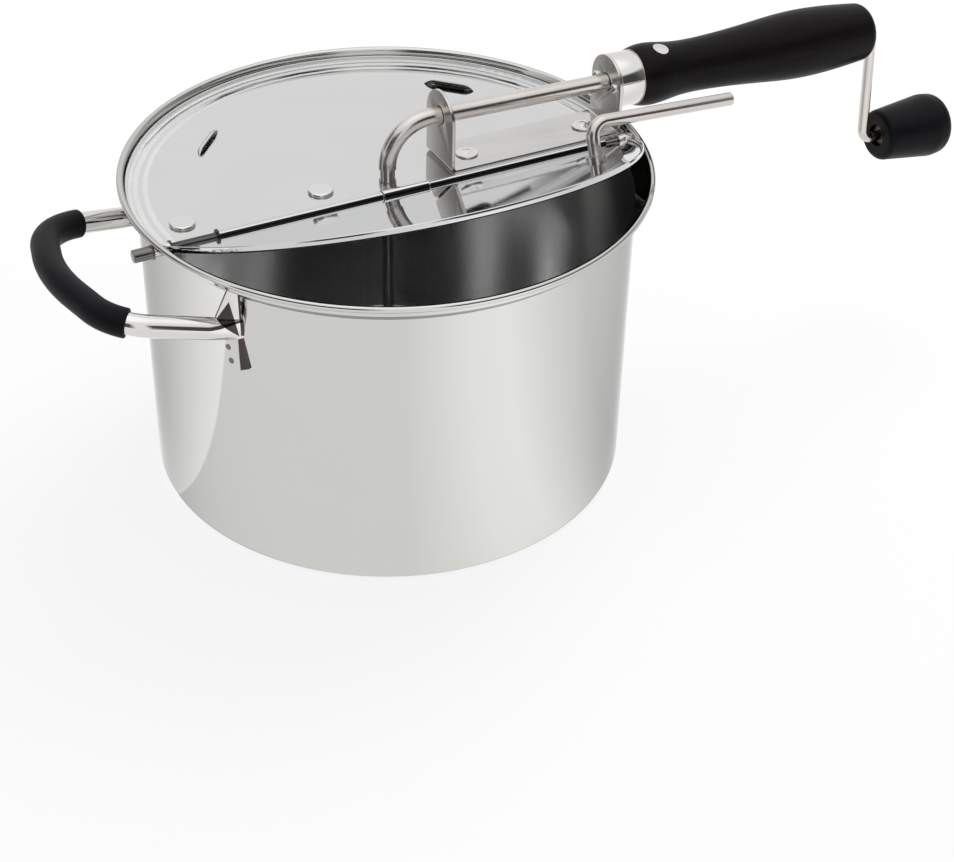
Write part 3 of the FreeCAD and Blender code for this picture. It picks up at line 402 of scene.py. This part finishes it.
# %% Give every solid its finish
FINISHES = {
    wall_steel: ["pot_shell"],
    base_steel: ["base_plate"],
    lid_steel: ["lid_half", "lid_brace"],
    flap_steel: ["lid_flap"],
    bright_steel: ["side_handle_tube", "lid_rivets", "bracket_rivets", "handle_ferrule",
                   "ferrule_screws", "handle_pin", "rod_bushings", "lever_screw"],
    tube_steel: ["drive_tube", "flap_lever", "crank_rod", "lever_collar", "crank_bush",
                 "lid_bushing", "flex_shaft", "knob_retainer"],
    bracket_steel: ["handle_bracket"],
    rod_steel: ["hinge_rod", "release_button", "release_spring"],
    clip_steel: ["rod_clip", "spring_seat"],
    shaft_steel: ["stirrer_shaft", "shaft_collar", "stirrer_wire_low", "stirrer_wire_high"],
    grip_wood: ["handle_grip"],
    knob_plastic: ["crank_knob", "knob_cap"],
    sleeve_rubber: ["side_handle_grip"],
}
for finish, names in FINISHES.items():
    for name in names:
        for slot in nodes[name].material_slots:
            slot.material = finish
print("finished:", sum(len(names) for names in FINISHES.values()), "of", len(nodes))

# %% [markdown]
# ## The pot
# The pot is one sheet of steel, drawn deep, stepped outwards under the rim and rolled over at the
# top. On a mirror finish every facet of a coarse mesh shows as a kink in the reflections, so the
# shell is spun again from its outline in 256 fine steps. The outline runs up the outside, round
# the rolled rim and down the inside to the middle of the floor. The inside is brushed upright and
# less finely than the outside, so it mirrors the opening as soft streaks.

# %% Helper: a second finish on part of a piece
def refinish(made, finish, chosen):
    """Give a second finish to the faces that the test picks."""
    made.data.materials.append(finish)
    for face in made.data.polygons:
        if chosen(face):
            face.material_index = 1
    count = sum(face.material_index for face in made.data.polygons)
    print(f"{made.name}: {count} faces in {finish.name}")


def from_axis(face):
    """Distance of a face's middle from the pot's axis."""
    return math.hypot(face.center.x, face.center.y)


# %% Spin the pot
POT_OUTLINE = [(1.2, 0, 0), (1.2, 112, 3.5), (140.57, 112, 1.2), (145.57, 117.7, 0.8),
               (148, 117.7, 0), (148, 120, 1.5), (151, 120, 1.5), (151, 117, 1.5),
               (145.88, 117, 0.5), (140.88, 111.3, 0.8), (1.9, 111.3, 2.8), (1.9, 0, 0)]
INSIDE_R = 111.5 * MM       # inside the middle of the wall's sheet
INSIDE_Z = 1.8 * MM         # above the middle of the bottom's sheet
pot = piece("pot", lathe(rounded(POT_OUTLINE), UPRIGHT, 256), "pot", wall_steel)
# Painted light: the inside gets the pale steel that stands in for light in the dim pot.
refinish(pot, lit_inner_steel, lambda face: from_axis(face) < INSIDE_R and face.center.z > INSIDE_Z)
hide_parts("pot_shell")

# %% [markdown]
# ## Soft edges
# No edge on a real object is perfectly sharp, and on steel the small round that is left catches a
# bright line of light. Several solids get that round here: a copy of the mesh is merged, its flat
# triangles are joined into whole faces, and the sharp edges are bevelled. Two of the copies get a
# second finish. The bracket's flat foot is polished finer than its ears. The lid half keeps its
# edges as they are and is duller from its pressed groove outwards. There it also has a paler,
# partly matt colour that is painted light, which keeps the groove and lip evenly bright instead of
# mirroring dark.

# %% Helper: round the sharp edges of a solid's copy
FLAT = math.radians(0.4)


def softened(node, width, finish, body="pot", angle=50.0, segments=3):
    """Copy of a solid, with edges sharper than the angle bevelled by the width in millimetres."""
    shape = bmesh.new()
    shape.from_mesh(nodes[node].data)
    bmesh.ops.remove_doubles(shape, verts=shape.verts, dist=MERGE)
    bmesh.ops.dissolve_limit(shape, angle_limit=FLAT, verts=shape.verts, edges=shape.edges)
    if width:
        sharp = [edge for edge in shape.edges
                 if len(edge.link_faces) == 2 and edge.calc_face_angle(0.0) > math.radians(angle)]
        bmesh.ops.bevel(shape, geom=sharp, offset=width * MM, offset_type="OFFSET", affect="EDGES",
                        segments=segments, profile=0.5, material=-1, clamp_overlap=True)
    made = piece("soft_" + node, shape, body, finish)
    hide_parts(node)
    return made


# %% Round the sharp edges of some solids
FOOT_TOP = LID_TOP + 4 * MM         # above the bracket's foot, below its ears
GROOVE_IN = 105 * MM                # inner edge of the lid's pressed groove
GROOVE_LOW = LID_TOP - 0.25 * MM    # just under the groove's bottom
softened("side_handle_grip", 0.9, sleeve_rubber, segments=4)
bracket = softened("handle_bracket", 0.3, bracket_steel)
refinish(bracket, plate_steel, lambda face: face.normal.z > 0.7 and face.center.z < FOOT_TOP)
softened("flap_lever", 0.5, tube_steel, "flap")
softened("handle_ferrule", 0.3, bright_steel)
softened("release_button", 0.3, rod_steel, "release_rod")
softened("lid_rivets", 0.9, bright_steel, segments=5)
softened("bracket_rivets", 0.4, bright_steel)
lid = softened("lid_half", 0, lid_steel)
# Painted light on the lid from the groove outwards, along with its duller polish.
refinish(lid, lit_lip_steel, lambda face: from_axis(face) > GROOVE_IN and face.center.z > GROOVE_LOW)

# %% [markdown]
# ## Rolled barrels and their painted shade
# The hinge barrels are rolled from the edge of the sheet, and each roll stays open along its front.
# The shade in that open hollow is painted: a thin near-black strip laid round part of the barrel.

# %% Lay a strip of painted shade along each barrel
FLAP_BARREL_R = 2.3
LID_BARREL_R = 2.9
STRIP_TURNS = [math.radians(turn) for turn in range(35, 119, 7)]    # from the top, forwards
STRIP_OVER, STRIP_UNDER = 0.04, 0.1     # strip's skin and bottom, from the barrel's skin


def seam_shadow(name, left, right, radius, body):
    """Strip of painted shade along a barrel between two places in millimetres, round its front."""
    shape = bmesh.new()
    outline = [(turn, radius + STRIP_OVER) for turn in STRIP_TURNS]
    outline += [(turn, radius - STRIP_UNDER) for turn in reversed(STRIP_TURNS)]
    corners = [Vector((left, -math.sin(turn) * r, math.cos(turn) * r)) for turn, r in outline]
    face = shape.faces.new([shape.verts.new(HINGE + corner * MM) for corner in corners])
    grown = bmesh.ops.extrude_face_region(shape, geom=[face])["geom"]
    bmesh.ops.translate(shape, vec=(MM * (right - left), 0, 0),
                        verts=[part for part in grown if isinstance(part, bmesh.types.BMVert)])
    bmesh.ops.recalc_face_normals(shape, faces=shape.faces)
    piece(name, shape, body, gap_shadow_steel, 30)


# Painted shade: each strip is near-black steel laid where the open roll's hollow falls in shade.
seam_shadow("seam_shadow_left", -88, -11.4, FLAP_BARREL_R, "flap")
seam_shadow("seam_shadow_middle", -10.9, 11.2, LID_BARREL_R, "pot")
seam_shadow("seam_shadow_right", 11.7, 103, FLAP_BARREL_R, "flap")

# %% [markdown]
# ## Folds of the side handle
# Each end of the side handle is pressed into a flat web that stands against the wall. The press
# leaves folds in it. The shade and dark reflections in the hollow between them, in the corner at
# the wall, along the web's upper rim and on the strip below are painted. The web's faces are cut
# along the folds, and the faces of the hollow, the corner, the rim and the strip get a dark steel.
# Points on a web are given as millimetres out from the wall and up from the base.

# %% Helper: cut the folds of one web and paint shade into it
# The first, second and fourth fold enclose the hollow. The third sets off the corner at the wall.
FOLDS = (((10.1, 131.4), (4.7, 138.5)), ((4.7, 138.5), (1.26, 121.3)),
         ((1.01, 141.7), (0.73, 124.7)), ((13.2, 134.4), (1.4, 121.6)))
LEG_FOOT = (-95.569, 58.4)          # where a leg's axis meets the wall, in millimetres
LEG_WAY = (0.97815, 0.20791)        # cosine and sine of the 12 degrees that a leg closes in
WEB_BACK, WEB_REACH = -4, 14        # the pressed end, out from the wall
WEB_HALF = 6                        # and to each side of its middle
WEB_FACING = 0.15                   # least cosine between the web's side and a face of it
WEB_LOW = 116                       # lower end of the web
# Painted shade: the corner, the rim and the strip below are given dark steel for the shade there.
CORNER_LOW = 122                    # the tint at the wall ends here
EDGE_LOW = 131.5                    # the web's rim is dark from here up
STRIP_TOP, STRIP_OUT = 116.5, 3     # the strip below the tube


def painted_shade_web(shape, side):
    """Cut the web at the front (-1) or rear (1) end of the side handle, and paint shade into its
    hollow, corner, rim and strip.
    """
    wall = Vector((LEG_FOOT[0], side * LEG_FOOT[1], 0)) * MM
    along = Vector((-LEG_WAY[0], -side * LEG_WAY[1], 0))
    outward = Vector((-LEG_WAY[1], side * LEG_WAY[0], 0))

    def place(face):
        offset = (face.calc_center_median() - wall) / MM
        return offset.dot(along), offset.z, abs(offset.dot(outward))

    def beside(fold, out, up):
        (out_0, up_0), (out_1, up_1) = fold
        return (up - up_0) * (out_1 - out_0) - (out - out_0) * (up_1 - up_0) > 0

    def is_web(face):
        out, up, depth = place(face)
        facing = abs(face.normal.dot(outward)) > WEB_FACING
        return out < WEB_REACH and up > WEB_LOW and depth < WEB_HALF and facing

    for (out_0, up_0), (out_1, up_1) in FOLDS:
        web = [face for face in shape.faces if is_web(face)]
        edges = {edge for face in web for edge in face.edges}
        verts = {vert for face in web for vert in face.verts}
        line = along * (out_1 - out_0) + Vector((0, 0, up_1 - up_0))
        start = wall + along * out_0 * MM + Vector((0, 0, up_0 * MM))
        bmesh.ops.bisect_plane(shape, geom=web + list(edges) + list(verts), dist=1e-7,
                               plane_co=start, plane_no=line.cross(outward).normalized())
    for face in shape.faces:
        out, up, depth = place(face)
        if depth > WEB_HALF or not WEB_BACK <= out <= WEB_REACH:
            continue
        sides = [beside(fold, out, up) for fold in FOLDS]
        dip = is_web(face) and sides[0] and sides[1] and not sides[3]
        corner = is_web(face) and not sides[2] and up > CORNER_LOW
        rim = up > EDGE_LOW and not is_web(face)
        strip = up < STRIP_TOP and out < STRIP_OUT
        # Painted shade: faces in the hollow, the corner, the rim and the strip get the dark steel.
        if dip or corner or rim or strip:
            face.material_index = 1


# %% Fold both ends of the side handle and paint shade into them
side_handle = softened("side_handle_tube", 0.25, bright_steel)
# Painted shade: the dark steel for the webs' shaded faces.
side_handle.data.materials.append(painted_shade_steel)
shape = bmesh.new()
shape.from_mesh(side_handle.data)
for side in (-1, 1):
    painted_shade_web(shape, side)
print("painted shade faces:", sum(face.material_index for face in shape.faces))
shape.to_mesh(side_handle.data)
shape.free()

# %% [markdown]
# ## Spot welds
# The side handle is held by pairs of spot welds beside its pressed ends. Each leaves a shallow
# crater with a raised, heat-darkened rim. It is spun from a small outline and turned to face out
# from the wall.

# %% Two welds beside each end of the side handle
WELD_OUTLINE = [(-0.1, 1.4, 0), (0.08, 1.4, 0.05), (0.2, 1.1, 0.06), (0.03, 0.65, 0.06),
                (0.05, 0, 0)]
WELDS = ((152.68, 112.3), (152.07, 105.8))      # degrees from +X, and height in millimetres
for end, side in (("front", -1), ("rear", 1)):
    for row, (turn, height) in enumerate(WELDS, 1):
        round_pot = Matrix.Rotation(math.radians(side * turn), 4, "Z")
        place = round_pot @ Matrix.Translation((BODY_R, 0, height * MM))
        piece(f"weld_{end}_{row}", lathe(rounded(WELD_OUTLINE, 3), place, 24),
              "pot", weld_steel, 80)

# %% [markdown]
# ## Clearance round the tube
# The drive tube passes through a slightly larger hole in each ear. The shade in that gap is
# painted: a dark ring that stands a hair out of the ear's left face.

# %% A ring of painted shade round the tube at each ear
GAP_OUTLINE = [(0.2, 4.0, 0), (-0.05, 4.0, 0), (-0.05, 4.4, 0), (0.2, 4.4, 0), (0.2, 4.0, 0)]
EARS = (("left", 26.0), ("right", 113.1))       # left face of each ear, in millimetres along X
for name, along in EARS:
    place = Matrix.Translation((along * MM, 0, AXIS_Z - along * MM * math.tan(DROOP)))
    # Painted shade: a near-black ring stands in for the shade in the gap round the tube.
    piece(f"hole_shadow_{name}", lathe(rounded(GAP_OUTLINE), place, 48),
          "pot", gap_shadow_steel)

# %% [markdown]
# ## Seam ring and knob washer
# Where the ferrule meets the wood, a thin rolled edge shows as a warm line. In the small end of the
# knob a washer closes the recess round the crank rod. Both are thin rings on an axis that is not
# level, so they are spun on +X and carried there by the axis matrices.

# %% Spin the seam ring and the washer
SEAM_OUTLINE = [(126.5, 12.7, 0), (126.5, 13.05, 0.12), (127.0, 13.05, 0.12), (127.0, 12.7, 0),
                (126.5, 12.7, 0)]
piece("seam_ring", lathe(rounded(SEAM_OUTLINE, 3), ON_AXIS, 96), "pot", seam_steel)
WASHER_OUTLINE = [(279.3, 2.66, 0), (278.9, 2.66, 0.1), (278.9, 5.2, 0.2),
                  (279.8, 5.2, 0), (279.8, 2.66, 0), (279.3, 2.66, 0)]
ON_KNOB = ON_CRANK @ Matrix.Translation((0, 0, -CRANK_ARM))
piece("knob_washer", lathe(rounded(WASHER_OUTLINE, 3), ON_KNOB, 48),
      "knob", washer_steel)

# %% [markdown]
# ## Light, floor and camera
# Polished steel looks like what stands round it. A photographer sets it in a white tent with a
# few dark edges, so that its curves read as light and dark bands. Here the world does that work:
# it lights the object evenly, and only reflected rays see its dark walls. How dark a wall is goes
# by its compass direction. The floor does the same for its own reflection, which leaves soft
# upright bands on the pot. Both rings of brightness start and end towards -X, where an edge shows.
# One wide soft lamp gives the shadow its direction.

# %% The world round the object
WALLS = ((-180, 0.08), (-126, 0.08), (-116, 1.0), (-98, 1.0), (-88, 0.07), (-55, 0.06),
         (-25, 0.28), (5, 0.42), (30, 0.9), (95, 1.0), (119, 0.40), (150, 0.08), (180, 1.0))
WALL_FOOT = (-0.02, 0.05)       # heights on the unit sphere between which the walls fade in
WALL_TOP = (0.54, 0.66)         # and between which they fade out
TOP_LIGHT = (0.80, 0.96)        # heights between which the zenith's light fades in
ZENITH = 1.35
AMBIENT = 0.72                  # lights the object, where the camera sees 1


def studio_world():
    """White to the camera, even light to matt surfaces, a tent with dark walls to mirrored rays."""
    world = bpy.data.worlds.new("studio")
    world.use_nodes = True
    bpy.context.scene.world = world
    tree = world.node_tree
    background = tree.nodes["Background"]
    ray = tree.nodes.new("ShaderNodeLightPath")
    place = tree.nodes.new("ShaderNodeTexCoord")
    walls, up = compass(tree, place.outputs["Generated"], WALLS)
    low = math_node(tree, "MULTIPLY", spread(tree, up, 0, 1, *WALL_FOOT),
                    spread(tree, up, 1, 0, *WALL_TOP))
    unlit = math_node(tree, "MULTIPLY", low, math_node(tree, "SUBTRACT", 1.0, walls))
    seen = math_node(tree, "SUBTRACT", spread(tree, up, 1.0, ZENITH, *TOP_LIGHT), unlit)
    mirrored = math_node(tree, "MULTIPLY", seen, ray.outputs["Is Glossy Ray"])
    not_glossy = math_node(tree, "SUBTRACT", 1.0, ray.outputs["Is Glossy Ray"])
    level = spread(tree, ray.outputs["Is Camera Ray"], AMBIENT, 1.0, 0, 1)
    direct = math_node(tree, "MULTIPLY", not_glossy, level)
    tree.links.new(math_node(tree, "ADD", direct, mirrored), background.inputs["Strength"])
    background.inputs["Color"].default_value = (1, 1, 1, 1)


studio_world()
print("world:", bpy.context.scene.world.name)

# %% The floor
FLOOR = ((-180, 0.76), (-110, 0.76), (-86, 0.94), (-70, 0.98), (-46, 0.80), (-30, 0.73),
         (-12, 0.77), (20, 0.82), (70, 0.76), (110, 0.70), (150, 0.80), (180, 1.0))
FLOOR_LEVEL = 1.28              # brightness of the mirrored floor, times the ring's
CAMERA_GLOW, MIRROR_GLOW = 0.8, 0.97    # shares of plain glow over shaded matt white
FLOOR_HALF = 30.0


def floor():
    """Pale floor that keeps a soft shadow, with its own brightness ring for mirrored rays."""
    shape = bmesh.new()
    bmesh.ops.create_grid(shape, x_segments=1, y_segments=1, size=FLOOR_HALF)
    mesh = bpy.data.meshes.new("floor")
    shape.to_mesh(mesh)
    shape.free()
    material = bpy.data.materials.new("pale floor")
    material.use_nodes = True
    tree = material.node_tree
    tree.nodes.clear()
    matt = tree.nodes.new("ShaderNodeBsdfDiffuse")
    matt.inputs["Color"].default_value = (0.95, 0.95, 0.95, 1)
    glow = tree.nodes.new("ShaderNodeEmission")
    ray = tree.nodes.new("ShaderNodeLightPath")
    mix = tree.nodes.new("ShaderNodeMixShader")
    out = tree.nodes.new("ShaderNodeOutputMaterial")
    place = tree.nodes.new("ShaderNodeTexCoord")
    ring, _ = compass(tree, place.outputs["Object"], FLOOR)
    light = math_node(tree, "MULTIPLY", ring, FLOOR_LEVEL)
    shade = math_node(tree, "MULTIPLY", ray.outputs["Is Glossy Ray"],
                      math_node(tree, "SUBTRACT", 1.0, light))
    tree.links.new(math_node(tree, "SUBTRACT", 1.0, shade), glow.inputs["Strength"])
    seen = math_node(tree, "MULTIPLY", ray.outputs["Is Camera Ray"], CAMERA_GLOW)
    mirrored = math_node(tree, "MULTIPLY", ray.outputs["Is Glossy Ray"], MIRROR_GLOW)
    tree.links.new(math_node(tree, "ADD", seen, mirrored), mix.inputs["Fac"])
    tree.links.new(matt.outputs["BSDF"], mix.inputs[1])
    tree.links.new(glow.outputs["Emission"], mix.inputs[2])
    tree.links.new(mix.outputs["Shader"], out.inputs["Surface"])
    mesh.materials.append(material)
    made = bpy.data.objects.new("floor", mesh)
    bpy.context.scene.collection.objects.link(made)
    return made


print("floor:", floor().name)

# %% The soft lamp
def soft_lamp(name, place, target, size, power):
    """Round area lamp at a place, turned to a target."""
    data = bpy.data.lights.new(name, "AREA")
    data.shape = "DISK"
    data.size = size
    data.energy = power
    lamp = bpy.data.objects.new(name, data)
    lamp.location = place
    lamp.rotation_euler = (Vector(target) - Vector(place)).to_track_quat("-Z", "Y").to_euler()
    bpy.context.scene.collection.objects.link(lamp)
    return lamp


key = soft_lamp("key", (0.9, 0.5, 1.5), (0, 0, 0.08), 1.1, 14)
key.visible_glossy = False
print("lamp:", key.name, key.data.energy, "W")

# %% The camera
CAMERA_PLACE = (-0.33170, -0.69008, 0.57032)
CAMERA_TURNS = (-28.918, 36.595, 1.570)     # degrees round Z, above the level, and rolled
FOCAL, WIDTH = 1929.61, 954                 # focal length and picture width, both in pixels
SENSOR = 36.0


def look():
    """Camera by its place, the two angles of its line of sight, its roll and its lens."""
    turn, rise, roll = (math.radians(angle) for angle in CAMERA_TURNS)
    back = Vector((math.sin(turn) * math.cos(rise), -math.cos(turn) * math.cos(rise),
                   math.sin(rise)))
    right = Vector((math.cos(turn), math.sin(turn), 0))
    up = back.cross(right)
    side = math.cos(roll) * right + math.sin(roll) * up
    top = math.cos(roll) * up - math.sin(roll) * right
    data = bpy.data.cameras.new("camera")
    data.sensor_width = SENSOR
    data.lens = FOCAL / WIDTH * SENSOR
    camera = bpy.data.objects.new("camera", data)
    turned = Matrix((side, top, back)).transposed().to_4x4()
    camera.matrix_world = Matrix.Translation(CAMERA_PLACE) @ turned
    bpy.context.scene.collection.objects.link(camera)
    bpy.context.scene.camera = camera
    return camera


print("camera lens:", round(look().data.lens, 2))
bpy.context.scene.view_settings.view_transform = "Standard"
